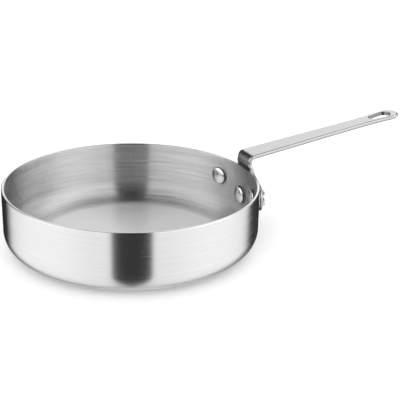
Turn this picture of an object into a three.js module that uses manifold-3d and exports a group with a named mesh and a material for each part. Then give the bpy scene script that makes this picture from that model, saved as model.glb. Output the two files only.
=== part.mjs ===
// A riveted saute pan: a pressed aluminium body, a handle bent from one blank of steel strip,
// and the three rivets that hold them together.
// Millimetres, +Z up. The origin is the middle of the base, on the surface that the pan stands on,
// and the handle points along +X.

import * as THREE from "three";
import { mergeVertices } from "three/addons/utils/BufferGeometryUtils.js";
import Module from "manifold-3d";

const { clamp, degToRad, smoothstep } = THREE.MathUtils;

// Pan body
const RIM_RADIUS = 120; // outside of the rim
const PAN_HEIGHT = 60; // from the surface it stands on to the top of the rim
const WALL_THICKNESS = 3;
const BASE_THICKNESS = 3;
const CORNER_RADIUS = 20; // outside, where the wall runs into the base
const WALL_DRAFT = degToRad(0.45); // the wall leans out by this much
const RIM_ROUNDING = 0.9; // on both edges of the rim

// Rivets
const RIVET_HEAD_RADIUS = 9; // the domed head inside the pan
const RIVET_HEAD_SIDE = 0.6; // the upright part of that head
const RIVET_DOME_HEIGHT = 3; // the dome above the upright part
const RIVET_TAIL_RADIUS = 7.5; // the flat head outside
const RIVET_TAIL_HEIGHT = 2.8;
const RIVET_TAIL_CHAMFER = 1.1;
const RIVET_SHANK_RADIUS = 4;
const RIVET_CORNER_MARGIN = 1.5; // from the lowest head to the pan's inside corner
const WING_RIVET_RISE = 9.4; // the wing rivets lie this much higher than the middle one
const WING_RIVET_SPACING = 74.5; // between the wing rivets, round the plate's inner face

// Handle
const STRAP_THICKNESS = 4;
const LOBE_RADIUS = 12; // the plate's edge, round each rivet
const SHOULDER_ANGLE = degToRad(8); // the plate's upper edges fall away from the riser by this much
const FLARE_RADIUS = 13; // where those edges run into the riser
const ROOT_WIDTH = 24.6; // the riser and the first of the grip
const RISER_ABOVE_RIM = 7.1; // the bend starts this much above the rim, and clear of the flare
const RISER_LEAN = 2; // the riser leans in over the rim by this much
const LEAN_HEIGHT = 3.5; // above the rim, where it has leaned in fully
const BEND_RADIUS = 3; // inside of the bend
const STRAP_RISE = degToRad(7.4); // the grip climbs by this much
const STRAP_LENGTH = 181.5; // from the sharp corner of the bend to the tip
const WAIST_WIDTH = 18.6; // the narrowest part, before the eye
const WAIST_TO_EYE = 40; // from the narrowest part to the middle of the eye
const EYE_FLARE = 1.8; // the eye's radius, more than half the waist
const HOLE_LENGTH = 24;
const HOLE_RADIUS = 6.6; // the wide end, towards the tip
const HOLE_NARROW_RADIUS = 5; // the narrow end, towards the pan
const HOLE_TO_TIP = 9;

// Clearances
const SEAT_GAP = 0.3; // between pieces that rest on each other
const RIVET_CLEARANCE = 0.3; // between a shank and its hole

// Finishes
const SATIN_ALUMINIUM = 0xd4d6d8;
const BRIGHT_ALUMINIUM = 0xdcdddf;
const PLATED_STEEL = 0xc9cac8;
const SATIN_ROUGHNESS = 0.34;
const BRIGHT_ROUGHNESS = 0.18;

// How finely round shapes are cut into flat ones
const PAN_SIDES = 96;
const RIVET_SIDES = 24;
const CORNER_STEPS = 8;
const EDGE_STEPS = 3;
const DOME_STEPS = 5;
const HOLE_STEPS = 12;
const BLANK_COLUMNS = 10;
const PLATE_STEP = 3.5;
const BEND_STEP = 1.2;
const GRIP_STEP = 15;
const EYE_STEP = 3.5;
const BLUNT_END = degToRad(4); // the blank's two ends are cut straight over this much of their arcs

// Worked out from the sizes above
const wallLean = Math.tan(WALL_DRAFT);
const outsideRadiusAt = (height) => RIM_RADIUS - (PAN_HEIGHT - height) * wallLean;
const wallAcross = WALL_THICKNESS / Math.cos(WALL_DRAFT);
const insideCornerRadius = CORNER_RADIUS - WALL_THICKNESS;
const cornerTop = BASE_THICKNESS + insideCornerRadius;
const plateRadiusAt = (height) => outsideRadiusAt(height) + SEAT_GAP;

const lowerRivetHeight = cornerTop + RIVET_CORNER_MARGIN + RIVET_HEAD_RADIUS;
const wingRivetHeight = lowerRivetHeight + WING_RIVET_RISE;
const wingRivetAcross = WING_RIVET_SPACING / 2;
const wingRivetAngle = wingRivetAcross / plateRadiusAt(wingRivetHeight);
const rivets = [
  { name: "rivet_left", angle: wingRivetAngle, height: wingRivetHeight },
  { name: "rivet_right", angle: -wingRivetAngle, height: wingRivetHeight },
  { name: "rivet_lower", angle: 0, height: lowerRivetHeight },
];

const rootAcross = ROOT_WIDTH / 2;
const waistAcross = WAIST_WIDTH / 2;
const eyeRadius = waistAcross + EYE_FLARE;
const shoulderTurn = Math.PI / 2 - SHOULDER_ANGLE;
const shoulderAcross = wingRivetAcross + LOBE_RADIUS * Math.cos(shoulderTurn);
const shoulderHeight = wingRivetHeight + LOBE_RADIUS * Math.sin(shoulderTurn);
const shoulderRise = (shoulderAcross - rootAcross) * Math.tan(SHOULDER_ANGLE);
const flareTop = shoulderHeight + shoulderRise + FLARE_RADIUS * Math.tan(shoulderTurn / 2);

const bendOutside = BEND_RADIUS + STRAP_THICKNESS;
const bendTurn = Math.PI / 2 - STRAP_RISE;
const bendStart = Math.max(PAN_HEIGHT + RISER_ABOVE_RIM, flareTop);
const leanTop = Math.min(PAN_HEIGHT + LEAN_HEIGHT, bendStart);
const bendEnd = bendStart + bendOutside * bendTurn;
const blankEnd = bendEnd + STRAP_LENGTH - bendOutside * Math.tan(bendTurn / 2);
const riserFace = plateRadiusAt(bendStart) - RISER_LEAN;

const wasm = await Module();
wasm.setup();

// Turns a closed geometry into a solid that can be cut
function solidOf(geometry) {
  const bare = geometry.clone();
  bare.deleteAttribute("normal");
  bare.deleteAttribute("uv");
  const merged = mergeVertices(bare);
  const corners = merged.index.array;
  const triangles = [];
  for (let i = 0; i < corners.length; i += 3) {
    const [a, b, c] = corners.slice(i, i + 3);
    if (a !== b && b !== c && c !== a) triangles.push(a, b, c);
  }
  return new wasm.Manifold(
    new wasm.Mesh({
      numProp: 3,
      vertProperties: new Float32Array(merged.attributes.position.array),
      triVerts: new Uint32Array(triangles),
    }),
  );
}

// Takes the cutters out of a geometry and gives back what is left
function cut(geometry, cutters) {
  let solid = solidOf(geometry);
  for (const cutter of cutters) solid = solid.subtract(solidOf(cutter));
  const mesh = solid.getMesh();
  const left = new THREE.BufferGeometry();
  left.setAttribute("position", new THREE.BufferAttribute(mesh.vertProperties, 3));
  left.setIndex(new THREE.BufferAttribute(mesh.triVerts, 1));
  left.computeVertexNormals();
  return left;
}

// Points of an arc, as an upright profile uses them: across, up
function arc(centreAcross, centreUp, radius, from, to, steps) {
  const curve = new THREE.EllipseCurve(centreAcross, centreUp, radius, radius, from, to, to < from);
  return curve.getPoints(steps);
}

// The straight cylinders along the rivets' axes that clear their shanks
function rivetHoles() {
  const radius = RIVET_SHANK_RADIUS + RIVET_CLEARANCE;
  const from = RIM_RADIUS - 2 * WALL_THICKNESS - RIVET_HEAD_RADIUS;
  const to = RIM_RADIUS + 2 * STRAP_THICKNESS + RIVET_HEAD_RADIUS;
  return rivets.map(({ angle, height }) => {
    const hole = new THREE.CylinderGeometry(radius, radius, to - from, RIVET_SIDES);
    hole.rotateZ(-Math.PI / 2);
    hole.translate((from + to) / 2, 0, height);
    return hole.rotateZ(angle);
  });
}

// One pressed shell, turned about the pan's axis
function panBodyGeometry() {
  const outsideCentre = outsideRadiusAt(CORNER_RADIUS) - CORNER_RADIUS / Math.cos(WALL_DRAFT);
  const insideRadiusAt = (height) => outsideRadiusAt(height) - wallAcross;
  const insideCentre = insideRadiusAt(cornerTop) - insideCornerRadius / Math.cos(WALL_DRAFT);
  const edgeUp = PAN_HEIGHT - RIM_ROUNDING;
  const bottom = -Math.PI / 2;
  const top = Math.PI / 2;
  const profile = [
    new THREE.Vector2(0, 0),
    ...arc(outsideCentre, CORNER_RADIUS, CORNER_RADIUS, bottom, -WALL_DRAFT, CORNER_STEPS),
    ...arc(outsideRadiusAt(edgeUp) - RIM_ROUNDING, edgeUp, RIM_ROUNDING, 0, top, EDGE_STEPS),
    ...arc(insideRadiusAt(edgeUp) + RIM_ROUNDING, edgeUp, RIM_ROUNDING, top, Math.PI, EDGE_STEPS),
    ...arc(insideCentre, cornerTop, insideCornerRadius, -WALL_DRAFT, bottom, CORNER_STEPS),
    new THREE.Vector2(0, BASE_THICKNESS),
  ];
  const shell = new THREE.LatheGeometry(profile, PAN_SIDES);
  shell.rotateX(Math.PI / 2);
  return cut(shell, rivetHoles());
}

// One side of the flat blank's edge, from the foot of the plate up to the tip of the eye.
// Across is measured from the middle, and up follows the blank's face round the bend.
function blankEdge() {
  const right = Math.PI / 2;
  const below = Math.atan2(WING_RIVET_RISE, wingRivetAcross) - right;
  const eyeUp = blankEnd - eyeRadius;
  const waistUp = eyeUp - WAIST_TO_EYE;
  const neckRadius = (waistAcross ** 2 + WAIST_TO_EYE ** 2 - eyeRadius ** 2) / (2 * EYE_FLARE);
  const neckTurn = Math.atan2(WAIST_TO_EYE, waistAcross + neckRadius);

  const plate = new THREE.Path();
  plate.absarc(0, lowerRivetHeight, LOBE_RADIUS, BLUNT_END - right, below);
  plate.absarc(wingRivetAcross, wingRivetHeight, LOBE_RADIUS, below, shoulderTurn);
  const flareMiddle = rootAcross + FLARE_RADIUS;
  const aboveRim = clamp((flareTop - PAN_HEIGHT) / FLARE_RADIUS, 0, 1);
  const rimTurn = Math.min(Math.asin(aboveRim), shoulderTurn); // the flare's point level with the rim
  plate.absarc(flareMiddle, flareTop, FLARE_RADIUS, shoulderTurn - Math.PI, rimTurn - Math.PI, true);
  plate.absarc(flareMiddle, flareTop, FLARE_RADIUS, rimTurn - Math.PI, -Math.PI, true);
  if (bendStart > flareTop) plate.lineTo(rootAcross, bendStart);

  const bend = new THREE.Path();
  bend.moveTo(rootAcross, bendStart);
  bend.lineTo(rootAcross, bendEnd);

  const grip = new THREE.Path();
  grip.moveTo(rootAcross, bendEnd);
  grip.lineTo(waistAcross, waistUp);

  const eye = new THREE.Path();
  eye.absarc(waistAcross + neckRadius, waistUp, neckRadius, Math.PI, Math.PI - neckTurn, true);
  eye.absarc(0, eyeUp, eyeRadius, -neckTurn, right - BLUNT_END);

  const sample = (path, step) =>
    path.curves.flatMap((curve) => curve.getPoints(Math.ceil(curve.getLength() / step)).slice(1));
  const first = plate.curves[0].getPoint(0);
  return [
    first,
    ...sample(plate, PLATE_STEP),
    ...sample(bend, BEND_STEP),
    ...sample(grip, GRIP_STEP),
    ...sample(eye, EYE_STEP),
  ];
}

// Where a point of the flat blank lies once the blank is rolled to the wall and bent over the rim.
// Depth is measured from the face that lies on the wall and becomes the top of the grip.
function bent(across, up, depth) {
  const sinc = (turn) => (turn === 0 ? 1 : Math.sin(turn) / turn);
  const height = Math.min(up, bendStart);
  const roll = (1 - smoothstep(height, PAN_HEIGHT, bendStart)) / plateRadiusAt(height);
  const rolled = across * roll;
  const lean = RISER_LEAN * smoothstep(height, PAN_HEIGHT, leanTop);
  const faceX = plateRadiusAt(height) - lean - across * Math.sin(rolled / 2) * sinc(rolled / 2);
  const y = across * sinc(rolled) + depth * Math.sin(rolled);
  if (up <= bendStart) return new THREE.Vector3(faceX + depth * Math.cos(rolled), y, up);

  const turn = Math.min((up - bendStart) / bendOutside, bendTurn);
  const straight = Math.max(up - bendEnd, 0);
  const fromCentre = bendOutside - depth;
  const x = riserFace + bendOutside - fromCentre * Math.cos(turn) + straight * Math.sin(turn);
  const z = bendStart + fromCentre * Math.sin(turn) + straight * Math.cos(turn);
  return new THREE.Vector3(x, y, z);
}

// The pear-shaped hole in the eye, as a bar that runs straight through it
function hangHole() {
  const between = HOLE_LENGTH - HOLE_RADIUS - HOLE_NARROW_RADIUS;
  const lean = Math.asin((HOLE_RADIUS - HOLE_NARROW_RADIUS) / between);
  const side = Math.PI / 2 + lean;
  const outline = new THREE.Shape();
  outline.absarc(0, 0, HOLE_RADIUS, -side, side);
  outline.absarc(-between, 0, HOLE_NARROW_RADIUS, side, 2 * Math.PI - side);
  const depth = 3 * STRAP_THICKNESS;
  const bar = new THREE.ExtrudeGeometry(outline, { depth, bevelEnabled: false, curveSegments: HOLE_STEPS });
  bar.translate(0, 0, -depth / 2);
  bar.rotateY(-STRAP_RISE);
  const middle = bent(0, blankEnd - HOLE_TO_TIP - HOLE_RADIUS, STRAP_THICKNESS / 2);
  return bar.translate(middle.x, middle.y, middle.z);
}

// The strip blank: a flat grid whose rows follow the edge, rolled and bent, then pierced
function handleGeometry() {
  const edge = blankEdge();
  const rows = edge.length - 1;
  const blank = new THREE.BoxGeometry(1, 1, 1, rows, BLANK_COLUMNS, 1);
  const position = blank.attributes.position;
  for (let i = 0; i < position.count; i += 1) {
    const row = edge[Math.round((position.getX(i) + 0.5) * rows)];
    const across = 2 * position.getY(i) * row.x;
    const depth = (0.5 - position.getZ(i)) * STRAP_THICKNESS;
    const place = bent(across, row.y, depth);
    position.setXYZ(i, place.x, place.y, place.z);
  }
  return cut(blank, [...rivetHoles(), hangHole()]);
}

// A rivet about its own axis, with the domed head below and the flat head above.
// The domed head's edge seats on the hollow of the wall, and the flat head on the plate.
function rivetGeometry(height) {
  const wallInside = outsideRadiusAt(height) - wallAcross;
  const headSeat = Math.sqrt(wallInside ** 2 - RIVET_HEAD_RADIUS ** 2) - SEAT_GAP;
  const tailSeat = plateRadiusAt(height) + STRAP_THICKNESS + SEAT_GAP;
  const domeFoot = headSeat - RIVET_HEAD_SIDE;
  const tailTop = tailSeat + RIVET_TAIL_HEIGHT;
  const dome = new THREE.EllipseCurve(
    0, domeFoot, RIVET_HEAD_RADIUS, RIVET_DOME_HEIGHT, -Math.PI / 2, 0,
  );
  const profile = [
    new THREE.Vector2(0, domeFoot - RIVET_DOME_HEIGHT),
    ...dome.getPoints(DOME_STEPS).slice(1),
    new THREE.Vector2(RIVET_HEAD_RADIUS, headSeat),
    new THREE.Vector2(RIVET_SHANK_RADIUS, headSeat),
    new THREE.Vector2(RIVET_SHANK_RADIUS, tailSeat),
    new THREE.Vector2(RIVET_TAIL_RADIUS, tailSeat),
    new THREE.Vector2(RIVET_TAIL_RADIUS, tailTop - RIVET_TAIL_CHAMFER),
    new THREE.Vector2(RIVET_TAIL_RADIUS - RIVET_TAIL_CHAMFER, tailTop),
    new THREE.Vector2(0, tailTop),
  ];
  return new THREE.LatheGeometry(profile, RIVET_SIDES);
}

// A named piece of bare metal, of this colour and roughness
function metalPiece(name, geometry, color, roughness) {
  const material = new THREE.MeshStandardMaterial({ color, roughness, metalness: 1 });
  const mesh = new THREE.Mesh(geometry, material);
  mesh.name = name;
  return mesh;
}

const pan = new THREE.Group();
pan.add(metalPiece("pan_body", panBodyGeometry(), SATIN_ALUMINIUM, SATIN_ROUGHNESS));
pan.add(metalPiece("handle", handleGeometry(), PLATED_STEEL, SATIN_ROUGHNESS));
for (const { name, angle, height } of rivets) {
  const place = new THREE.Group();
  const rivet = metalPiece(name, rivetGeometry(height), BRIGHT_ALUMINIUM, BRIGHT_ROUGHNESS);
  place.rotation.z = angle;
  rivet.rotation.z = -Math.PI / 2;
  rivet.position.z = height;
  place.add(rivet);
  pan.add(place);
}

export default pan;
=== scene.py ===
# %% [markdown]
# # A riveted saute pan
# The object is a pressed aluminium pan with a steel strap handle, held on by three rivets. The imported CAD
# model gives the frame and the sizes. This lesson dresses each of its five pieces with a finer surface and
# a metal finish, and lights them the way that a catalogue lights bare metal.

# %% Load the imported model
import math

import bmesh
import bpy
import numpy as np
from mathutils import Matrix, Vector


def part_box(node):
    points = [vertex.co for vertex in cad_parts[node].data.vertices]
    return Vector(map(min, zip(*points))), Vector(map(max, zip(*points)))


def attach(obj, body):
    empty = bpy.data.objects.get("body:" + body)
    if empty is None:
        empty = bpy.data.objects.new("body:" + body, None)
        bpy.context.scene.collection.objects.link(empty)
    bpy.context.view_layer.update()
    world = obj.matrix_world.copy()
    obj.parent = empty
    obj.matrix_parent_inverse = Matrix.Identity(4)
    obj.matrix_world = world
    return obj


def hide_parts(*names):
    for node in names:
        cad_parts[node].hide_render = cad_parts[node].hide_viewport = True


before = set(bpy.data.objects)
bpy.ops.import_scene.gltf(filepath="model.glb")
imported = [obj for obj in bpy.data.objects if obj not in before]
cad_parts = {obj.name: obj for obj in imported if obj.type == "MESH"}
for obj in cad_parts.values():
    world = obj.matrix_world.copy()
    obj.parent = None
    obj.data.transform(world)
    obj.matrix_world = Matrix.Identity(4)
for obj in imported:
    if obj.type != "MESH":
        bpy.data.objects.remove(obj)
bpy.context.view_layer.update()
MM = 0.001

# %% [markdown]
# ## The sizes
# The overall sizes are read from the frame, so the surfaces land exactly where the CAD pieces are. The
# smaller sizes, such as the wall's thickness and the rounding of an edge, are written here in millimetres.
# All lengths are kept in metres.

# %% Sizes of the pan
pan_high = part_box("pan_body")[1]
PAN_HEIGHT = pan_high[2]
RIM_ROUNDING = 0.9 * MM
WALL_DRAFT = math.radians(0.45)
RIM_RADIUS = pan_high[0] + RIM_ROUNDING * math.tan(WALL_DRAFT)
WALL = 3 * MM
BASE = 3 * MM
CORNER_RADIUS = 20 * MM
INSIDE_CORNER = CORNER_RADIUS - WALL
CORNER_TOP = BASE + INSIDE_CORNER


def wall_outside(height):
    """The wall's outside radius at a height: the rim's radius less the lean of the wall."""
    return RIM_RADIUS - (PAN_HEIGHT - height) * math.tan(WALL_DRAFT)


def wall_inside(height):
    """The wall's inside radius at a height: one wall's thickness in from the outside."""
    return wall_outside(height) - WALL / math.cos(WALL_DRAFT)


print("rim radius", round(RIM_RADIUS / MM, 2), "mm, height", round(PAN_HEIGHT / MM, 2), "mm")

# %% Sizes of the rivets
HEAD_RADIUS = 9 * MM
HEAD_SIDE = 0.6 * MM
DOME_HEIGHT = 3 * MM
TAIL_RADIUS = 7.5 * MM
TAIL_HEIGHT = 2.8 * MM
SHANK_RADIUS = 4 * MM
SEAT_GAP = 0.3 * MM


def middle_height(node):
    """The height of the middle of a node's box."""
    low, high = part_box(node)
    return (low[2] + high[2]) / 2


def middle_angle(node):
    """The bearing of the middle of a node's box, round the pan's axis."""
    low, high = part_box(node)
    return math.atan2((low[1] + high[1]) / 2, (low[0] + high[0]) / 2)


lower_height = middle_height("rivet_lower")
wing_height = middle_height("rivet_left")
WING_ACROSS = 37.25 * MM
print("rivets at heights", round(lower_height / MM, 2), round(wing_height / MM, 2), "mm")

# %% Sizes of the handle
STRAP = 4 * MM
LOBE_RADIUS = 12 * MM
SHOULDER_ANGLE = math.radians(8)
FLARE_RADIUS = 13 * MM
ROOT = 24.6 / 2 * MM
WAIST = 18.6 / 2 * MM
EYE_RADIUS = WAIST + 1.8 * MM
WAIST_TO_EYE = 40 * MM
RISER_ABOVE_RIM = 7.1 * MM
RISER_LEAN = 2 * MM
LEAN_HEIGHT = 3.5 * MM
BEND_OUTSIDE = 3 * MM + STRAP
STRAP_RISE = math.radians(7.4)
STRAP_LENGTH = 181.5 * MM
HOLE_LENGTH = 24 * MM
HOLE_RADIUS = 6.6 * MM
HOLE_NARROW = 5 * MM
HOLE_TO_TIP = 9 * MM
EDGE_ROUNDING = 1.7 * MM
HOLE_ROUNDING = 0.9 * MM

QUARTER = math.pi / 2
shoulder_turn = QUARTER - SHOULDER_ANGLE
shoulder_across = WING_ACROSS + LOBE_RADIUS * math.cos(shoulder_turn)
shoulder_height = wing_height + LOBE_RADIUS * math.sin(shoulder_turn)
flare_top = (
    shoulder_height
    + (shoulder_across - ROOT) * math.tan(SHOULDER_ANGLE)
    + FLARE_RADIUS * math.tan(shoulder_turn / 2)
)
bend_turn = QUARTER - STRAP_RISE
bend_start = max(PAN_HEIGHT + RISER_ABOVE_RIM, flare_top)
lean_top = min(PAN_HEIGHT + LEAN_HEIGHT, bend_start)
bend_end = bend_start + BEND_OUTSIDE * bend_turn
blank_end = bend_end + STRAP_LENGTH - BEND_OUTSIDE * math.tan(bend_turn / 2)
eye_up = blank_end - EYE_RADIUS
waist_up = eye_up - WAIST_TO_EYE
neck_radius = (WAIST**2 + WAIST_TO_EYE**2 - EYE_RADIUS**2) / (2 * (EYE_RADIUS - WAIST))
riser_face = wall_outside(bend_start) + SEAT_GAP - RISER_LEAN
print("blank runs to", round(blank_end / MM, 1), "mm, bend starts at", round(bend_start / MM, 1), "mm")

# %% [markdown]
# ## The camera
# A long lens from a little under a metre, looking down by about 21 degrees, with the handle going away to
# the right. The numbers come from fitting the rim's and the base's outlines, in a frame whose first axis
# points to the picture's right, and that frame is turned so that the handle lies along +X.

# %% Camera
VIEW_BEARING = math.radians(26.8)
VIEW_DROP = math.radians(21.22)
VIEW_ROLL = math.radians(1.23)
VIEW_DISTANCE = 980 * MM
AIM_RIGHT = 64.26 * MM
AIM_UP = 41.23 * MM
FOCAL_PIXELS = 1026.87
PICTURE_PIXELS = 400
SENSOR_WIDTH = 36

forward = Vector((0, math.cos(VIEW_DROP), -math.sin(VIEW_DROP)))
level_right = Vector((1, 0, 0))
level_up = level_right.cross(forward)
right = math.cos(VIEW_ROLL) * level_right + math.sin(VIEW_ROLL) * level_up
up = math.cos(VIEW_ROLL) * level_up - math.sin(VIEW_ROLL) * level_right
aim = AIM_RIGHT * level_right + AIM_UP * level_up
camera_place = aim - VIEW_DISTANCE * forward

camera_data = bpy.data.cameras.new("camera")
camera_data.sensor_width = SENSOR_WIDTH
camera_data.lens = FOCAL_PIXELS / PICTURE_PIXELS * SENSOR_WIDTH
camera = bpy.data.objects.new("camera", camera_data)
bpy.context.scene.collection.objects.link(camera)
axes = Matrix((right, up, -forward)).transposed().to_4x4()
turn_back = Matrix.Rotation(-VIEW_BEARING, 4, "Z")
camera.matrix_world = turn_back @ Matrix.Translation(camera_place) @ axes
bpy.context.scene.camera = camera
placed = [round(part, 4) for part in camera.matrix_world.translation]
print("camera at", placed, "lens", round(camera_data.lens, 2))

# %% [markdown]
# ## Helpers for surfaces
# Every piece is a grid of points worked out in one go with numpy. A grid becomes a list of quads, several
# grids that share an edge are joined by merging the points that coincide, and the faces are then turned
# outwards. A pole, where a whole row of points falls on the axis, closes in the same merge.

# %% Grid helpers
MERGE_DISTANCE = 0.002 * MM


def line(start, end, count):
    """Count points spaced evenly from start to end, without the end itself."""
    steps = np.linspace(0, 1, count, endpoint=False)[:, None]
    return np.asarray(start) + steps * (np.asarray(end) - np.asarray(start))


def arc(centre, radius, start, end, count):
    """Count + 1 points of a circle from one angle to another, both ends included."""
    angles = np.linspace(start, end, count + 1)
    return np.asarray(centre) + radius * np.stack([np.cos(angles), np.sin(angles)], axis=1)


def grid_quads(rows, columns, first=0):
    """The corners of each cell of a rows by columns grid of points that are numbered row by row."""
    numbers = first + np.arange(rows * columns).reshape(rows, columns)
    cells = [numbers[:-1, :-1], numbers[1:, :-1], numbers[1:, 1:], numbers[:-1, 1:]]
    return np.stack([cell.ravel() for cell in cells], axis=1)


def joined_piece(name, grids, flats=None):
    """Joins grids of shape (rows, columns, 3) into one closed, smooth mesh; flats are matching UV grids."""
    corners = []
    quads = []
    count = 0
    for points in grids:
        quads.append(grid_quads(points.shape[0], points.shape[1], count))
        corners.append(points.reshape(-1, 3))
        count += points.shape[0] * points.shape[1]
    corners = np.concatenate(corners)
    quads = np.concatenate(quads)
    mesh = bpy.data.meshes.new(name)
    mesh.from_pydata(corners.tolist(), [], quads.tolist())
    if flats is not None:
        layer = mesh.uv_layers.new(name="flat")
        flat = np.concatenate([f.reshape(-1, 2) for f in flats])
        layer.data.foreach_set("uv", flat[quads.ravel()].astype(np.float32).ravel())
    shape = bmesh.new()
    shape.from_mesh(mesh)
    bmesh.ops.remove_doubles(shape, verts=shape.verts, dist=MERGE_DISTANCE)
    bmesh.ops.dissolve_degenerate(shape, edges=shape.edges, dist=MERGE_DISTANCE / 10)
    bmesh.ops.recalc_face_normals(shape, faces=shape.faces)
    open_edges = sum(1 for edge in shape.edges if len(edge.link_faces) != 2)
    volume = shape.calc_volume(signed=True)
    shape.to_mesh(mesh)
    shape.free()
    mesh.polygons.foreach_set("use_smooth", np.ones(len(mesh.polygons), dtype=bool))
    mesh.update()
    piece = bpy.data.objects.new(name, mesh)
    bpy.context.scene.collection.objects.link(piece)
    print(name, len(mesh.polygons), "faces,", open_edges, "open edges,", round(volume * 1e6, 2), "ml")
    return piece


def turned(profile, sides):
    """Carries a profile of (radius, height) points round the Z axis: x = r cos a, y = r sin a, z = h."""
    angles = np.linspace(0, 2 * np.pi, sides + 1)
    radius = profile[:, 0][:, None]
    height = np.broadcast_to(profile[:, 1][:, None], (len(profile), sides + 1))
    return np.stack([radius * np.cos(angles), radius * np.sin(angles), height], axis=2)


# %% [markdown]
# ## The pan body
# A real pan like this is a disc pressed or spun into a dish, so one profile turned about the axis gives the
# whole of it: the base, the outside corner, the leaning wall, the rounded rim, and back down the inside. The
# straight stretches are cut finely too, because smooth shading spreads an error over a long face. A drawn
# curve with a screw modifier could make it too, but points that are worked out keep each radius exact.

# %% Pan profile and body
PAN_SIDES = 288
CORNER_STEPS = 28
RIM_STEPS = 8
WALL_STEPS = 14
BASE_STEPS = 24
corner_middle = wall_outside(CORNER_RADIUS) - CORNER_RADIUS / math.cos(WALL_DRAFT)
inside_middle = wall_inside(CORNER_TOP) - INSIDE_CORNER / math.cos(WALL_DRAFT)
edge_up = PAN_HEIGHT - RIM_ROUNDING
outside_edge = wall_outside(edge_up) - RIM_ROUNDING
inside_edge = wall_inside(edge_up) + RIM_ROUNDING

outside_corner = arc((corner_middle, CORNER_RADIUS), CORNER_RADIUS, -QUARTER, -WALL_DRAFT, CORNER_STEPS)
outside_round = arc((outside_edge, edge_up), RIM_ROUNDING, -WALL_DRAFT, QUARTER, RIM_STEPS)
inside_round = arc((inside_edge, edge_up), RIM_ROUNDING, QUARTER, math.pi, RIM_STEPS)
inside_corner = arc((inside_middle, CORNER_TOP), INSIDE_CORNER, -WALL_DRAFT, -QUARTER, CORNER_STEPS)
pan_profile = np.concatenate([
    line((0, 0), outside_corner[0], BASE_STEPS),
    outside_corner[:-1],
    line(outside_corner[-1], outside_round[0], WALL_STEPS),
    outside_round,
    inside_round[:-1],
    line(inside_round[-1], inside_corner[0], WALL_STEPS),
    inside_corner[:-1],
    line(inside_corner[-1], (0, BASE), BASE_STEPS),
    [(0, BASE)],
])
pan_body = joined_piece("pan_shell", [turned(pan_profile, PAN_SIDES)])

# %% [markdown]
# ## The handle
# The handle starts as a flat blank: a winged plate, a grip that narrows to a waist, and an eye with a
# pear-shaped hole. Half of its edge is drawn as arcs and straight lines with a normal at each point, so that
# the rounded edge can be carried along it. The face between the edge and the middle, or the hole, is a grid
# of rows. The other half is its mirror image. An extruded outline with modifiers for bevel and bend could
# make it too, but grids stay even through the bend and give the flat map that the grain follows.

# %% Half of the blank's edge
LOWER_STEPS = 6
SLANT_STEPS = 16
LOBE_STEPS = 40
SHOULDER_STEPS = 12
FLARE_STEPS = 32
RISER_STEPS = 2
BEND_STEPS = 26
GRIP_STEPS = 40
# Straights at the riser start a step back, so that they have a direction even at no length.
STEP_BACK = MM / 100

below = math.atan2(wing_height - lower_height, WING_ACROSS) - QUARTER
between_holes = HOLE_LENGTH - HOLE_RADIUS - HOLE_NARROW
hole_lean = math.asin((HOLE_RADIUS - HOLE_NARROW) / between_holes)
hole_up = blank_end - HOLE_TO_TIP - HOLE_RADIUS
narrow_up = hole_up - between_holes


def arc_edge(centre, radius, start, end, count, outward=1):
    """Points of an arc with normals along its radius: outwards for a bulge, inwards for a hollow."""
    points = arc(centre, radius, start, end, count)
    normals = outward * (points - np.asarray(centre)) / radius
    return np.concatenate([points, normals], axis=1)


def line_edge(start, end, count):
    """Points of a straight edge, without its ends, with the normal on its right-hand side."""
    start = np.asarray(start)
    end = np.asarray(end)
    points = line(start, end, count)[1:]
    along = (end - start) / np.linalg.norm(end - start)
    normals = np.broadcast_to((along[1], -along[0]), points.shape)
    return np.concatenate([points, normals], axis=1)


lower_lobe = arc_edge((0, lower_height), LOBE_RADIUS, -QUARTER, below, LOWER_STEPS)
wing_lobe = arc_edge((WING_ACROSS, wing_height), LOBE_RADIUS, below, shoulder_turn, LOBE_STEPS)
flare = arc_edge(
    (ROOT + FLARE_RADIUS, flare_top),
    FLARE_RADIUS,
    shoulder_turn - math.pi,
    -math.pi,
    FLARE_STEPS,
    outward=-1,
)
plate_edge = np.concatenate([
    lower_lobe,
    line_edge(lower_lobe[-1, :2], wing_lobe[0, :2], SLANT_STEPS),
    wing_lobe,
    line_edge(wing_lobe[-1, :2], flare[0, :2], SHOULDER_STEPS),
    flare,
    line_edge((ROOT, flare_top - STEP_BACK), (ROOT, bend_start), RISER_STEPS),
    line_edge((ROOT, bend_start - STEP_BACK), (ROOT, bend_end), BEND_STEPS),
    line_edge((ROOT, bend_end), (WAIST, waist_up), GRIP_STEPS),
])
print("edge points from the plate to the waist", len(plate_edge))

# %% [markdown]
# Near the eye the rows have to meet the hole's ends exactly, so the rows' places come from points spaced
# round the hole, and the edge is then read off at the same places: on the hollow neck the angle is the
# arcsine of the distance past the waist over the neck's radius, and on the eye the same from its middle.

# %% Rows round the hole
NARROW_STEPS = 14
WIDE_STEPS = 20
HOLE_SIDE_STEPS = 10
NECK_ROWS = 14
TIP_ROWS = 16

narrow_arc = arc_edge((0, narrow_up), HOLE_NARROW, -QUARTER, -hole_lean, NARROW_STEPS)
wide_arc = arc_edge((0, hole_up), HOLE_RADIUS, -hole_lean, QUARTER, WIDE_STEPS)
hole_side = line_edge(narrow_arc[-1, :2], wide_arc[0, :2], HOLE_SIDE_STEPS)
hole_edge = np.concatenate([narrow_arc, hole_side, wide_arc])
hole_rim = hole_edge[:, :2] + HOLE_ROUNDING * hole_edge[:, 2:]

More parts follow.
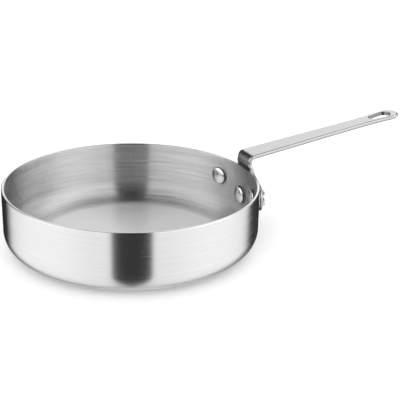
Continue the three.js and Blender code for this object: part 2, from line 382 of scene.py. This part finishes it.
before_hole = np.linspace(waist_up, hole_rim[0, 1], NECK_ROWS)[:-1]
last_turn = math.asin((hole_rim[-1, 1] - eye_up) / (EYE_RADIUS - EDGE_ROUNDING))
tip_turns = np.linspace(last_turn, QUARTER, TIP_ROWS)[1:]
after_hole = eye_up + (EYE_RADIUS - EDGE_ROUNDING) * np.sin(tip_turns)
row_ups = np.concatenate([before_hole, hole_rim[:, 1], after_hole])
row_insides = np.concatenate([np.zeros(len(before_hole)), hole_rim[:, 0], np.zeros(len(after_hole))])

neck_turn = math.atan2(WAIST_TO_EYE, WAIST + neck_radius)
neck_end = eye_up - (EYE_RADIUS - EDGE_ROUNDING) * math.sin(neck_turn)
on_neck = row_ups < neck_end
neck_angles = np.arcsin((row_ups[on_neck] - waist_up) / (neck_radius + EDGE_ROUNDING))
eye_angles = np.arcsin(np.clip((row_ups[~on_neck] - eye_up) / (EYE_RADIUS - EDGE_ROUNDING), -1, 1))
neck_normals = np.stack([np.cos(neck_angles), -np.sin(neck_angles)], axis=1)
neck_points = (WAIST + neck_radius, waist_up) - neck_radius * neck_normals
eye_normals = np.stack([np.cos(eye_angles), np.sin(eye_angles)], axis=1)
eye_points = (0, eye_up) + EYE_RADIUS * eye_normals
eye_edge = np.concatenate([
    np.concatenate([neck_points, neck_normals], axis=1),
    np.concatenate([eye_points, eye_normals], axis=1),
])
half_edge = np.concatenate([plate_edge, eye_edge])
half_inside = np.concatenate([np.zeros(len(plate_edge)), row_insides])
print("edge points", len(half_edge), "of which round the eye", len(eye_edge))

# %% [markdown]
# The bend is one function of the blank: below the rim the blank is rolled to the wall, above it the roll
# fades out while the riser leans in over the rim, then it turns through a short arc and runs straight. It is
# the same rule that the CAD solid follows, worked out here on whole arrays.


# %% Rolling and bending the blank
def eased(value, start, end):
    """0 before start, 1 after end, and a smooth cubic step between them."""
    t = np.clip((value - start) / (end - start), 0, 1)
    return t * t * (3 - 2 * t)


def bent(across, along, depth):
    """Where blank points lie after rolling and bending; depth goes down from the grip's upper face."""
    height = np.minimum(along, bend_start)
    radius = wall_outside(height) + SEAT_GAP
    roll = across * (1 - eased(height, PAN_HEIGHT, bend_start)) / radius
    lean = RISER_LEAN * eased(height, PAN_HEIGHT, lean_top)
    face = radius - lean - across * np.sin(roll / 2) * np.sinc(roll / 2 / np.pi)
    y = across * np.sinc(roll / np.pi) + depth * np.sin(roll)
    turn = np.clip((along - bend_start) / BEND_OUTSIDE, 0, bend_turn)
    straight = np.maximum(along - bend_end, 0)
    from_centre = BEND_OUTSIDE - depth
    bend_x = riser_face + BEND_OUTSIDE - from_centre * np.cos(turn) + straight * np.sin(turn)
    bend_z = bend_start + from_centre * np.sin(turn) + straight * np.cos(turn)
    on_plate = along <= bend_start
    x = np.where(on_plate, face + depth * np.cos(roll), bend_x)
    z = np.where(on_plate, along, bend_z)
    return np.stack([x, y, z], axis=2)


ROUNDING_STEPS = 7
SIDE_POINTS = 4


def rounded_section(rounding, count):
    """Insets and depths of an edge with a quarter round above, a flat side and a quarter round below."""
    turns = np.linspace(0, QUARTER, count + 1)
    inset = rounding * (1 - np.sin(turns))
    depth = rounding * (1 - np.cos(turns))
    sides = np.linspace(rounding, STRAP - rounding, SIDE_POINTS)[1:-1]
    insets = np.concatenate([inset, np.zeros(len(sides)), inset[::-1]])
    depths = np.concatenate([depth, sides, STRAP - depth[::-1]])
    return insets, depths


def edge_grid(edge, rounding, sense):
    """Carries the rounded section along an edge: each point moves along its normal by the section's inset."""
    insets, depths = rounded_section(rounding, ROUNDING_STEPS)
    across = edge[:, 0][:, None] - sense * insets * edge[:, 2][:, None]
    along = edge[:, 1][:, None] - sense * insets * edge[:, 3][:, None]
    depth = np.broadcast_to(depths, across.shape)
    return across, along, depth


def face_grid(depth_value, columns):
    """Rows from the middle, or the hole's rim, out to where the edge's rounding starts."""
    outer = half_edge[:, :2] - EDGE_ROUNDING * half_edge[:, 2:]
    share = np.linspace(0, 1, columns + 1)
    across = half_inside[:, None] + share * (outer[:, 0] - half_inside)[:, None]
    along = np.broadcast_to(outer[:, 1][:, None], across.shape)
    return across, along, np.full(across.shape, depth_value)


# %% [markdown]
# Both faces, the outer edge and the hole's edge are bent in this way and joined. The flat map keeps each
# point's place on the blank, and the hole's edge is moved aside on it, so that the material can tell it apart
# and paint shade on it.

# %% The handle's surface
FACE_COLUMNS = 28
PIERCED_SHIFT = 1.0
half_grids = [
    (face_grid(0, FACE_COLUMNS), 0),
    (face_grid(STRAP, FACE_COLUMNS), 0),
    (edge_grid(half_edge, EDGE_ROUNDING, 1), 0),
    (edge_grid(hole_edge, HOLE_ROUNDING, -1), PIERCED_SHIFT),
]
handle_grids = []
handle_flats = []
for (across, along, depth), shift in half_grids:
    for sign in (1, -1):
        handle_grids.append(bent(sign * across, along, depth))
        handle_flats.append(np.stack([sign * across + shift, along], axis=2))
handle = joined_piece("strap_handle", handle_grids, handle_flats)

# %% [markdown]
# ## The rivets
# Each rivet is turned about its own axis: a low dome with an upright side inside the pan, a shank, and a flat
# head with a rounded edge outside. It is then laid along the radius at its own bearing and height. A sphere
# and two cylinders could stand for it, but one profile gives one closed skin, and its flat map keeps the
# run from the crown, which tells where the head's edge is.

# %% Rivet profile and pieces
RIVET_SIDES = 72
TAIL_ROUNDING = 0.9 * MM
DOME_STEPS = 24
SEAT_STEPS = 4
SHANK_STEPS = 6
TAIL_SIDE_STEPS = 3
TAIL_STEPS = 8


def rivet_profile(height):
    """The rivet's (radius, distance from the pan's axis) points, from the dome's crown to the outer face."""
    head_seat = math.sqrt(wall_inside(height) ** 2 - HEAD_RADIUS**2) - SEAT_GAP
    tail_seat = wall_outside(height) + SEAT_GAP + STRAP + SEAT_GAP
    dome_foot = head_seat - HEAD_SIDE
    turns = np.linspace(-QUARTER, 0, DOME_STEPS + 1)
    dome = np.stack([HEAD_RADIUS * np.cos(turns), dome_foot + DOME_HEIGHT * np.sin(turns)], axis=1)
    dome[0, 0] = 0
    tail_top = tail_seat + TAIL_HEIGHT
    tail_middle = (TAIL_RADIUS - TAIL_ROUNDING, tail_top - TAIL_ROUNDING)
    tail_round = arc(tail_middle, TAIL_ROUNDING, 0, QUARTER, TAIL_STEPS)
    return np.concatenate([
        dome,
        line((HEAD_RADIUS, dome_foot), (HEAD_RADIUS, head_seat), SEAT_STEPS)[1:],
        line((HEAD_RADIUS, head_seat), (SHANK_RADIUS, head_seat), SEAT_STEPS),
        line((SHANK_RADIUS, head_seat), (SHANK_RADIUS, tail_seat), SHANK_STEPS),
        line((SHANK_RADIUS, tail_seat), (TAIL_RADIUS, tail_seat), SEAT_STEPS),
        line((TAIL_RADIUS, tail_seat), tail_round[0], TAIL_SIDE_STEPS),
        tail_round[:-1],
        line(tail_round[-1], (0, tail_top), TAIL_STEPS),
        [(0, tail_top)],
    ])


def laid_along_radius(points, bearing, height):
    """Turns local (x, y, z) so that z runs outwards along the bearing, y runs up, and lifts it to height."""
    x = points[..., 2] * math.cos(bearing) - points[..., 0] * math.sin(bearing)
    y = points[..., 2] * math.sin(bearing) + points[..., 0] * math.cos(bearing)
    return np.stack([x, y, points[..., 1] + height], axis=-1)


rivets = {}
for node in ("rivet_left", "rivet_right", "rivet_lower"):
    bearing = middle_angle(node)
    height = middle_height(node)
    profile = rivet_profile(height)
    points = turned(profile, RIVET_SIDES)
    run = np.concatenate([[0], np.cumsum(np.linalg.norm(np.diff(profile, axis=0), axis=1))])
    flat = np.stack(np.meshgrid(run, np.linspace(0, 1, RIVET_SIDES + 1), indexing="ij"), axis=2)
    piece_name = node.replace("rivet", "set_rivet")
    rivets[node] = joined_piece(piece_name, [laid_along_radius(points, bearing, height)], [flat])

# %% [markdown]
# ## The metals
# All three finishes are bare metal. The pan is aluminium brushed in rings, so its shine spreads across the
# rings and not along them: that is anisotropy, with the tangent running round the axis and turned by a
# quarter. Rings of noise vary its colour and roughness and raise a slight bump. The strap is plated steel
# with its grain along the grip, and the rivets are smooth and bright. Pictures of scratches could give the
# grain, but noise that is worked out in the material needs no file and stays sharp from close by.
#
# Some places have shade painted into the base colour, because the studio holds nothing dark for them to
# face: the pan's inside wall and corner, the strap's underside, the wall of its hole and the edge of each
# rivet head. The pan's floor has light painted into its base colour.


# %% Node helpers
def new_metal(name):
    """A new metallic Principled material, with its node tree and its shader node."""
    material = bpy.data.materials.new(name)
    material.use_nodes = True
    tree = material.node_tree
    shader = tree.nodes["Principled BSDF"]
    shader.inputs["Metallic"].default_value = 1
    return material, tree, shader


def add_node(tree, kind, **settings):
    """Adds a node and sets its named properties."""
    node = tree.nodes.new(kind)
    for key, value in settings.items():
        setattr(node, key, value)
    return node


def maths(tree, operation, first, second=None):
    """A Math node of one or two inputs, each a socket or a number; gives its output socket."""
    node = add_node(tree, "ShaderNodeMath", operation=operation)
    for socket, value in zip(node.inputs, (first, second)):
        if value is None:
            continue
        if isinstance(value, (int, float)):
            socket.default_value = value
        else:
            tree.links.new(value, socket)
    return node.outputs[0]


def product(tree, *values):
    """The product of two or more sockets or numbers."""
    result = values[0]
    for value in values[1:]:
        result = maths(tree, "MULTIPLY", result, value)
    return result


def vector_maths(tree, operation, first, second=None):
    """A Vector Math node of one or two vectors, or of a vector and a scale; gives its vector socket."""
    node = add_node(tree, "ShaderNodeVectorMath", operation=operation)
    tree.links.new(first, node.inputs[0])
    if second is not None:
        tree.links.new(second, node.inputs["Scale" if operation == "SCALE" else 1])
    return node.outputs[0]


def split(tree, vector):
    """The three parts of a vector socket."""
    node = add_node(tree, "ShaderNodeSeparateXYZ")
    tree.links.new(vector, node.inputs[0])
    return node.outputs


def combined(tree, *parts):
    """A vector socket made of two or three value sockets; a part left out is 0."""
    node = add_node(tree, "ShaderNodeCombineXYZ")
    for socket, part in zip(node.inputs, parts):
        tree.links.new(part, socket)
    return node.outputs[0]


def stepped(tree, value, low, high, out_low, out_high, smooth=True):
    """Maps a value from one range to another, with a smooth or a straight step; gives the result socket."""
    node = add_node(tree, "ShaderNodeMapRange", interpolation_type="SMOOTHSTEP" if smooth else "LINEAR")
    tree.links.new(value, node.inputs["Value"])
    node.inputs["From Min"].default_value = low
    node.inputs["From Max"].default_value = high
    node.inputs["To Min"].default_value = out_low
    node.inputs["To Max"].default_value = out_high
    return node.outputs["Result"]


# %% Noise, bump and facing
NOISE_RANGE = (0.3, 0.7)


def noise(tree, vector, fourth, detail):
    """A noise texture of four coordinates, a vector and one more; gives its grey value socket."""
    node = add_node(tree, "ShaderNodeTexNoise", noise_dimensions="4D")
    node.inputs["Scale"].default_value = 1
    node.inputs["Detail"].default_value = detail
    tree.links.new(vector, node.inputs["Vector"])
    tree.links.new(fourth, node.inputs["W"])
    return node.outputs["Fac"]


def spread(tree, grey, lowest, highest):
    """Carries the range that noise mostly keeps to over to another range, in a straight line."""
    return stepped(tree, grey, *NOISE_RANGE, lowest, highest, smooth=False)


def bumped(tree, height, strength, distance):
    """The normal of the surface once a height socket has raised a bump on it."""
    node = add_node(tree, "ShaderNodeBump")
    node.inputs["Strength"].default_value = strength
    node.inputs["Distance"].default_value = distance
    tree.links.new(height, node.inputs["Height"])
    return node.outputs[0]


def facing_up(tree):
    """How far the surface faces upwards, from -1 to 1: the third part of its normal."""
    normal = add_node(tree, "ShaderNodeNewGeometry").outputs["Normal"]
    return split(tree, normal)[2]


def flat_place(tree):
    """The parts of a point's place on the piece's own flat map, of which the third is 0."""
    return split(tree, add_node(tree, "ShaderNodeUVMap", uv_map="flat").outputs[0])


# %% Noise in rings round the axis
def own_place(tree):
    """A point's x, y and z in the piece's own frame, and its distance from the Z axis."""
    x, y, z = split(tree, add_node(tree, "ShaderNodeTexCoord").outputs["Object"])
    squares = maths(tree, "ADD", product(tree, x, x), product(tree, y, y))
    return x, y, z, maths(tree, "SQRT", squares)


def ring_noise(tree, place, rings_per_metre, drift, detail):
    """Noise that changes fast across the rings, with r and z, and slowly round them, with x/r and y/r."""
    x, y, z, radius = place
    safe = maths(tree, "MAXIMUM", radius, MM)
    vector = combined(
        tree,
        product(tree, radius, rings_per_metre),
        product(tree, maths(tree, "DIVIDE", x, safe), drift),
        product(tree, maths(tree, "DIVIDE", y, safe), drift),
    )
    return noise(tree, vector, product(tree, z, rings_per_metre), detail)


# %% [markdown]
# The pan's finish changes with the distance from the axis and with the way that the surface faces. The floor
# is duller than the wall, and painted light makes it lighter. Painted shade makes the inside wall darker than
# the outside and the corner darker still, and grooves too fine to see lean the wall's surface across the
# rings, which draws a reflection out up and down and keeps its sides sharp.
# Each change is soft, so it is given as the pair of radii, or of facings, that it starts and ends at.

# %% Places on the pan
FLOOR_EDGE = (92 * MM, 104 * MM)
FLOOR_PAINTED_LIGHT_EDGE = (86 * MM, 98 * MM)
CORNER_START = (94 * MM, 104 * MM)
CORNER_END = (115 * MM, 117 * MM)
RIM_EDGE = (117.2 * MM, 118.6 * MM)
CORNER_FACING = (0.2, 0.6)
INSIDE_FACING = (-0.25, -0.05)
# The pan's painted shade and painted light, as factors for the base colour.
INSIDE_PAINTED_SHADE = 0.8
CORNER_PAINTED_SHADE = 0.93
FLOOR_PAINTED_LIGHT = 1.1


def inside_of_dish(tree, radius, upwards):
    """1 on the pan's inside and 0 on its outside, told by the distance from the axis and the facing."""
    within_rim = stepped(tree, radius, *RIM_EDGE, 1, 0)
    not_under = stepped(tree, upwards, *INSIDE_FACING, 0, 1)
    return product(tree, within_rim, not_under)


def painted_light_and_shade_inside(tree, radius, upwards, in_dish):
    """A base colour factor: 1 outside, painted shade on the inside wall and corner, painted light on the
    floor.
    """
    in_corner = product(
        tree,
        stepped(tree, upwards, *CORNER_FACING, 0, 1),
        stepped(tree, radius, *CORNER_START, 0, 1),
        stepped(tree, radius, *CORNER_END, 1, 0),
    )
    corner = stepped(tree, in_corner, 0, 1, 1, CORNER_PAINTED_SHADE, smooth=False)
    floor_or_wall = stepped(tree, radius, *FLOOR_PAINTED_LIGHT_EDGE, FLOOR_PAINTED_LIGHT, INSIDE_PAINTED_SHADE)
    change = maths(tree, "SUBTRACT", product(tree, corner, floor_or_wall), 1)
    return maths(tree, "ADD", 1, product(tree, in_dish, change))


# %% Brushed aluminium
FINE_RINGS = 1000
FINE_DRIFT = 2
BROAD_RINGS = 130
BROAD_DRIFT = 1.5
BROAD_SHARE = 0.15
RING_DETAIL = 1
RING_COLOUR = (0.85, 0.9)
RING_ROUGHNESS = (0.225, 0.275)
RING_BUMP = 0.004
RING_DEPTH = 0.2 * MM
INSIDE_ROUGHNESS = -0.02
FLOOR_ROUGHNESS = 0.3
FLOOR_ANISOTROPY = 0.5
GROOVES = 20000
GROOVE_DETAIL = 0
GROOVE_LEAN = 2.6
NOISE_MIDDLE = 0.5
QUARTER_OF_TURN = 0.25


def leaned(tree, normal, tangent, amount):
    """Leans a normal across the tangent: normal + amount * (normal x tangent), brought back to length 1."""
    across = vector_maths(tree, "CROSS_PRODUCT", normal, tangent)
    lean = vector_maths(tree, "SCALE", across, amount)
    return vector_maths(tree, "NORMALIZE", vector_maths(tree, "ADD", normal, lean))


def brushed_aluminium():
    """Aluminium brushed in rings round Z, with painted shade and grooves inside and painted light on a duller
    floor.
    """
    material, tree, shader = new_metal("brushed_aluminium")
    place = own_place(tree)
    radius = place[3]
    upwards = facing_up(tree)
    in_dish = inside_of_dish(tree, radius, upwards)
    fine = ring_noise(tree, place, FINE_RINGS, FINE_DRIFT, RING_DETAIL)
    broad = ring_noise(tree, place, BROAD_RINGS, BROAD_DRIFT, RING_DETAIL)
    rings = maths(tree, "ADD", product(tree, fine, 1 - BROAD_SHARE), product(tree, broad, BROAD_SHARE))

    # The base colour carries painted shade inside and painted light on the floor.
    shade = painted_light_and_shade_inside(tree, radius, upwards, in_dish)
    tree.links.new(product(tree, spread(tree, rings, *RING_COLOUR), shade), shader.inputs["Base Color"])
    on_floor = stepped(tree, radius, *FLOOR_EDGE, FLOOR_ROUGHNESS, 0)
    duller = maths(tree, "ADD", product(tree, in_dish, INSIDE_ROUGHNESS), on_floor)
    roughness = maths(tree, "ADD", spread(tree, rings, *RING_ROUGHNESS), duller)
    tree.links.new(roughness, shader.inputs["Roughness"])
    tree.links.new(stepped(tree, radius, *FLOOR_EDGE, FLOOR_ANISOTROPY, 1), shader.inputs["Anisotropic"])

    tangent = add_node(tree, "ShaderNodeTangent", direction_type="RADIAL", axis="Z").outputs[0]
    tree.links.new(tangent, shader.inputs["Tangent"])
    shader.inputs["Anisotropic Rotation"].default_value = QUARTER_OF_TURN
    normal = bumped(tree, fine, RING_BUMP, RING_DEPTH)
    grooves = ring_noise(tree, place, GROOVES, FINE_DRIFT, GROOVE_DETAIL)
    groove = maths(tree, "SUBTRACT", grooves, NOISE_MIDDLE)
    on_wall = product(tree, in_dish, stepped(tree, radius, *FLOOR_EDGE, 0, GROOVE_LEAN))
    tree.links.new(leaned(tree, normal, tangent, product(tree, groove, on_wall)), shader.inputs["Normal"])
    return material


pan_metal = brushed_aluminium()
print(pan_metal.name, "has", len(pan_metal.node_tree.nodes), "nodes")

# %% Grained steel strip
GRAIN_ACROSS = 1500
GRAIN_ALONG = 60
GRAIN_DETAIL = 3
GRAIN_BUMP = 0.1
GRAIN_DEPTH = 0.15 * MM
STRAP_ROUGHNESS = (0.12, 0.18)
STRAP_ANISOTROPY = 0.9
STRAP_COLOUR = 0.6
# The strap's underside gets painted shade in its base colour.
UNDERSIDE_PAINTED_SHADE = 0.1
UNDERSIDE_FACING = (-0.6, -0.1)
PIERCED_EDGE = (PIERCED_SHIFT / 3, PIERCED_SHIFT / 2)
# The wall of the hole gets painted shade in its base colour.
HOLE_WALL_PAINTED_SHADE = 0.55


def grained_steel():
    """Plated steel strip with fine grain along the blank, and painted shade on its underside and its hole's
    wall.
    """
    material, tree, shader = new_metal("grained_steel")
    across, lengthwise, nothing = flat_place(tree)
    vector = combined(tree, product(tree, across, GRAIN_ACROSS), product(tree, lengthwise, GRAIN_ALONG))
    grain = noise(tree, vector, nothing, GRAIN_DETAIL)
    tree.links.new(spread(tree, grain, *STRAP_ROUGHNESS), shader.inputs["Roughness"])
    colour = stepped(tree, facing_up(tree), *UNDERSIDE_FACING, UNDERSIDE_PAINTED_SHADE, STRAP_COLOUR)
    pierced_painted_shade = stepped(tree, across, *PIERCED_EDGE, 1, HOLE_WALL_PAINTED_SHADE)
    tree.links.new(product(tree, colour, pierced_painted_shade), shader.inputs["Base Color"])
    tree.links.new(bumped(tree, grain, GRAIN_BUMP, GRAIN_DEPTH), shader.inputs["Normal"])
    tangent = add_node(tree, "ShaderNodeTangent", direction_type="UV_MAP", uv_map="flat").outputs[0]
    tree.links.new(tangent, shader.inputs["Tangent"])
    shader.inputs["Anisotropic"].default_value = STRAP_ANISOTROPY
    return material


strap_metal = grained_steel()
print(strap_metal.name, "has", len(strap_metal.node_tree.nodes), "nodes")

# %% Bright rivet metal
DENTS = 240
DENT_DETAIL = 2
DENT_BUMP = 0.08
DENT_DEPTH = 0.3 * MM
RIVET_ROUGHNESS = (0.05, 0.12)
RIVET_COLOUR = 0.9
# Each rivet head's edge gets a ring of painted shade in its base colour.
HEAD_EDGE_PAINTED_SHADE = 0.1
HEAD_EDGE_START = (8.6 * MM, 9.2 * MM)
HEAD_EDGE_END = (10.2 * MM, 10.8 * MM)


def bright_rivet():
    """Smooth aluminium with faint dents, a little uneven polish and a ring of painted shade at the head's
    edge.
    """
    material, tree, shader = new_metal("bright_rivet")
    texture = add_node(tree, "ShaderNodeTexNoise")
    texture.inputs["Scale"].default_value = DENTS
    texture.inputs["Detail"].default_value = DENT_DETAIL
    place = add_node(tree, "ShaderNodeTexCoord").outputs["Object"]
    tree.links.new(place, texture.inputs["Vector"])
    dents = texture.outputs["Fac"]
    tree.links.new(spread(tree, dents, *RIVET_ROUGHNESS), shader.inputs["Roughness"])
    run = flat_place(tree)[0]
    ring = product(
        tree, stepped(tree, run, *HEAD_EDGE_START, 0, 1), stepped(tree, run, *HEAD_EDGE_END, 1, 0)
    )
    colour = stepped(tree, ring, 0, 1, RIVET_COLOUR, HEAD_EDGE_PAINTED_SHADE, smooth=False)
    tree.links.new(colour, shader.inputs["Base Color"])
    tree.links.new(bumped(tree, dents, DENT_BUMP, DENT_DEPTH), shader.inputs["Normal"])
    return material


rivet_metal = bright_rivet()
print(rivet_metal.name, "has", len(rivet_metal.node_tree.nodes), "nodes")

# %% [markdown]
# ## Dressing the frame
# Each surface takes its finish and rides on the one body that the pan has, and its CAD node is hidden.

# %% Finishes, bodies and nodes
dressed = [
    (pan_body, "pan_body", "pan_aluminium", pan_metal),
    (handle, "handle", "handle_steel", strap_metal),
]
dressed += [(piece, node, "rivet_aluminium", rivet_metal) for node, piece in rivets.items()]
for piece, node, slot, metal in dressed:
    piece.data.materials.append(metal)
    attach(piece, "root")
    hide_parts(node)
print("dressed", [piece.name for piece, *_ in dressed])

# %% [markdown]
# ## The studio
# Bare metal shows whatever stands round it. In a catalogue picture that is a pair of big white panels with a
# dark gap between them, where the camera looks through. Low down behind the pan is a dark far wall, with a
# light table at its foot, and above it a dark slot on either side. The ceiling is dark, and the left panel
# is dimmer high up. Lamps and cards could be built for it, but here the world holds the room as a function
# of direction, for reflections only, because then each edge can be set by itself. The camera sees plain
# white, and the floor is lit evenly, so that only the pan's soft shadow shows on it.
#
# A direction is told by its bearing to the right of the camera and by its rise. Every edge in the room is
# soft, so it is given as the pair of degrees that it starts and ends at. Left and right are told apart by
# how far a direction goes to the right, from -1 to 1.

# %% Directions in the room
GAP_TURN = math.radians(4.4)
BACK_TURN = math.radians(-0.8)

world = bpy.data.worlds.new("studio")
bpy.context.scene.world = world
world.use_nodes = True
room = world.node_tree
room.nodes.clear()
toward_camera = Vector((-math.sin(VIEW_BEARING), -math.cos(VIEW_BEARING), 0))
toward_right = Vector((math.cos(VIEW_BEARING), -math.sin(VIEW_BEARING), 0))
direction = add_node(room, "ShaderNodeTexCoord").outputs["Generated"]


def share_along(axis):
    """How far the direction goes along an axis: their dot product."""
    node = add_node(room, "ShaderNodeVectorMath", operation="DOT_PRODUCT")
    room.links.new(direction, node.inputs[0])
    node.inputs[1].default_value = axis
    return node.outputs["Value"]


side = share_along(toward_right)
rise = share_along((0, 0, 1))
bearing_seen = maths(room, "ARCTAN2", side, share_along(toward_camera))
from_front = maths(room, "ABSOLUTE", bearing_seen)
from_gap = maths(room, "ABSOLUTE", maths(room, "SUBTRACT", bearing_seen, GAP_TURN))
from_back = maths(room, "ABSOLUTE", maths(room, "SUBTRACT", bearing_seen, BACK_TURN))


def by_bearing(angle, edge, before, after):
    """A soft step across an edge that is a pair of bearings in degrees."""
    near, far = edge
    return stepped(room, angle, math.radians(near), math.radians(far), before, after)


def by_rise(edge, under, over):
    """A soft step across an edge that is a pair of elevations in degrees."""
    low, high = edge
    return stepped(room, rise, math.sin(math.radians(low)), math.sin(math.radians(high)), under, over)


def without(value):
    """What a value leaves of 1."""
    return maths(room, "SUBTRACT", 1, value)


# %% [markdown]
# The gap narrows a little as it rises, and gets lighter straight down. The slot on the right is lighter
# towards the front.

# %% Dark parts of the room
GAP_EDGE = (16.5, 19)
GAP_NARROWS = (5, 35)
GAP_NARROWING = 1.05
GAP_FOOT = (-88, -45)
GAP_FOOT_LIGHT = 0.17
GAP_LIGHT = 0.012
WALL_SIDE = (127, 130.5)
WALL_TOP = (0, 8)
TABLE_SIDE = (150, 168)
TABLE_TOP = (-36, -22)
TABLE_LIGHT = 0.85
SLOT_START = (90, 128)
SLOT_END = (158, 166)
SLOT_BOTTOM = (-12, -4)
SLOT_TOP = (38, 46)
RIGHT_SLOT_EDGE = (130, 144)
RIGHT_SLOT_DEPTH = 0.2
LEFT_TO_RIGHT = (-0.2, 0.2)
DARK_DEPTH = 0.99

gap_bearing = product(room, from_gap, by_rise(GAP_NARROWS, 1, GAP_NARROWING))
gap_light = by_rise(GAP_FOOT, GAP_FOOT_LIGHT, GAP_LIGHT)
gap = maths(room, "MAXIMUM", by_bearing(gap_bearing, GAP_EDGE, 0, 1), gap_light)
table = product(room, by_bearing(from_front, TABLE_SIDE, 0, 1), by_rise(TABLE_TOP, TABLE_LIGHT, 0))
far_wall = product(room, by_bearing(from_back, WALL_SIDE, 0, 1), by_rise(WALL_TOP, 1, 0), without(table))
on_left = stepped(room, side, *LEFT_TO_RIGHT, 1, 0)
on_right = by_bearing(from_front, RIGHT_SLOT_EDGE, RIGHT_SLOT_DEPTH, 1)
slots = product(
    room,
    by_bearing(from_front, SLOT_START, 0, 1),
    by_bearing(from_front, SLOT_END, 1, 0),
    maths(room, "MAXIMUM", on_left, on_right),
    by_rise(SLOT_BOTTOM, 0, 1),
    by_rise(SLOT_TOP, 1, 0),
)
dark = product(room, maths(room, "MAXIMUM", far_wall, slots), DARK_DEPTH)
print("the gap is", 2 * GAP_EDGE[0], "to", 2 * GAP_EDGE[1], "degrees wide")

# %% Light of the panels
UPPER_EDGE = (-5, 10)
UPPER_LIGHT = 1.45
UNDER_EDGE = (-75, -40)
UNDER_LIGHT = 0.95
CEILING_EDGE = (50, 72)
CEILING_LIGHT = 0.2
BESIDE_GAP = (20, 75)
BESIDE_LIGHT = 0.86
LEFT_RISE = (25, 50)
LEFT_SIDE = (-0.1, 0.35)
LEFT_LIGHT = 0.6
BACK_START = (80, 140)
BACK_RISE = (-4, 8)
BACK_LIGHT = 0.76

dim_left = product(room, by_rise(LEFT_RISE, 0, 1), stepped(room, side, *LEFT_SIDE, 1 - LEFT_LIGHT, 0))
dim_back = product(room, by_bearing(from_front, BACK_START, 0, 1 - BACK_LIGHT), by_rise(BACK_RISE, 0, 1))
panels = product(
    room,
    gap,
    without(dark),
    without(dim_left),
    without(dim_back),
    by_rise(CEILING_EDGE, 1, CEILING_LIGHT),
    by_rise(UPPER_EDGE, 1, UPPER_LIGHT),
    by_rise(UNDER_EDGE, UNDER_LIGHT, 1),
    by_bearing(from_gap, BESIDE_GAP, BESIDE_LIGHT, 1),
)

# %% World
FLOOR_LIGHT = 1.3

rays = add_node(room, "ShaderNodeLightPath")
shown = add_node(room, "ShaderNodeMix", data_type="FLOAT")
room.links.new(rays.outputs["Is Glossy Ray"], shown.inputs["Factor"])
shown.inputs["A"].default_value = FLOOR_LIGHT
room.links.new(panels, shown.inputs["B"])
background = add_node(room, "ShaderNodeBackground")
background.inputs["Color"].default_value = (1, 1, 1, 1)
room.links.new(shown.outputs["Result"], background.inputs["Strength"])
output = add_node(room, "ShaderNodeOutputWorld")
room.links.new(background.outputs[0], output.inputs["Surface"])
print("studio of", len(room.nodes), "nodes")

# %% Floor
FLOOR_HALF = 3.0
floor_grid = np.array([[[-1, -1, 0], [1, -1, 0]], [[-1, 1, 0], [1, 1, 0]]]) * FLOOR_HALF
floor_mesh = bpy.data.meshes.new("floor")
floor_mesh.from_pydata(floor_grid.reshape(-1, 3).tolist(), [], [(0, 1, 3, 2)])
floor = bpy.data.objects.new("floor", floor_mesh)
bpy.context.scene.collection.objects.link(floor)
floor_paint = bpy.data.materials.new("white_floor")
floor_paint.use_nodes = True
floor_shader = floor_paint.node_tree.nodes["Principled BSDF"]
floor_shader.inputs["Base Color"].default_value = (1, 1, 1, 1)
floor_shader.inputs["Roughness"].default_value = 1
floor_shader.inputs["Specular IOR Level"].default_value = 0
floor_mesh.materials.append(floor_paint)
floor.visible_glossy = False
bpy.context.scene.view_settings.view_transform = "Standard"
print("floor", 2 * FLOOR_HALF, "m across")
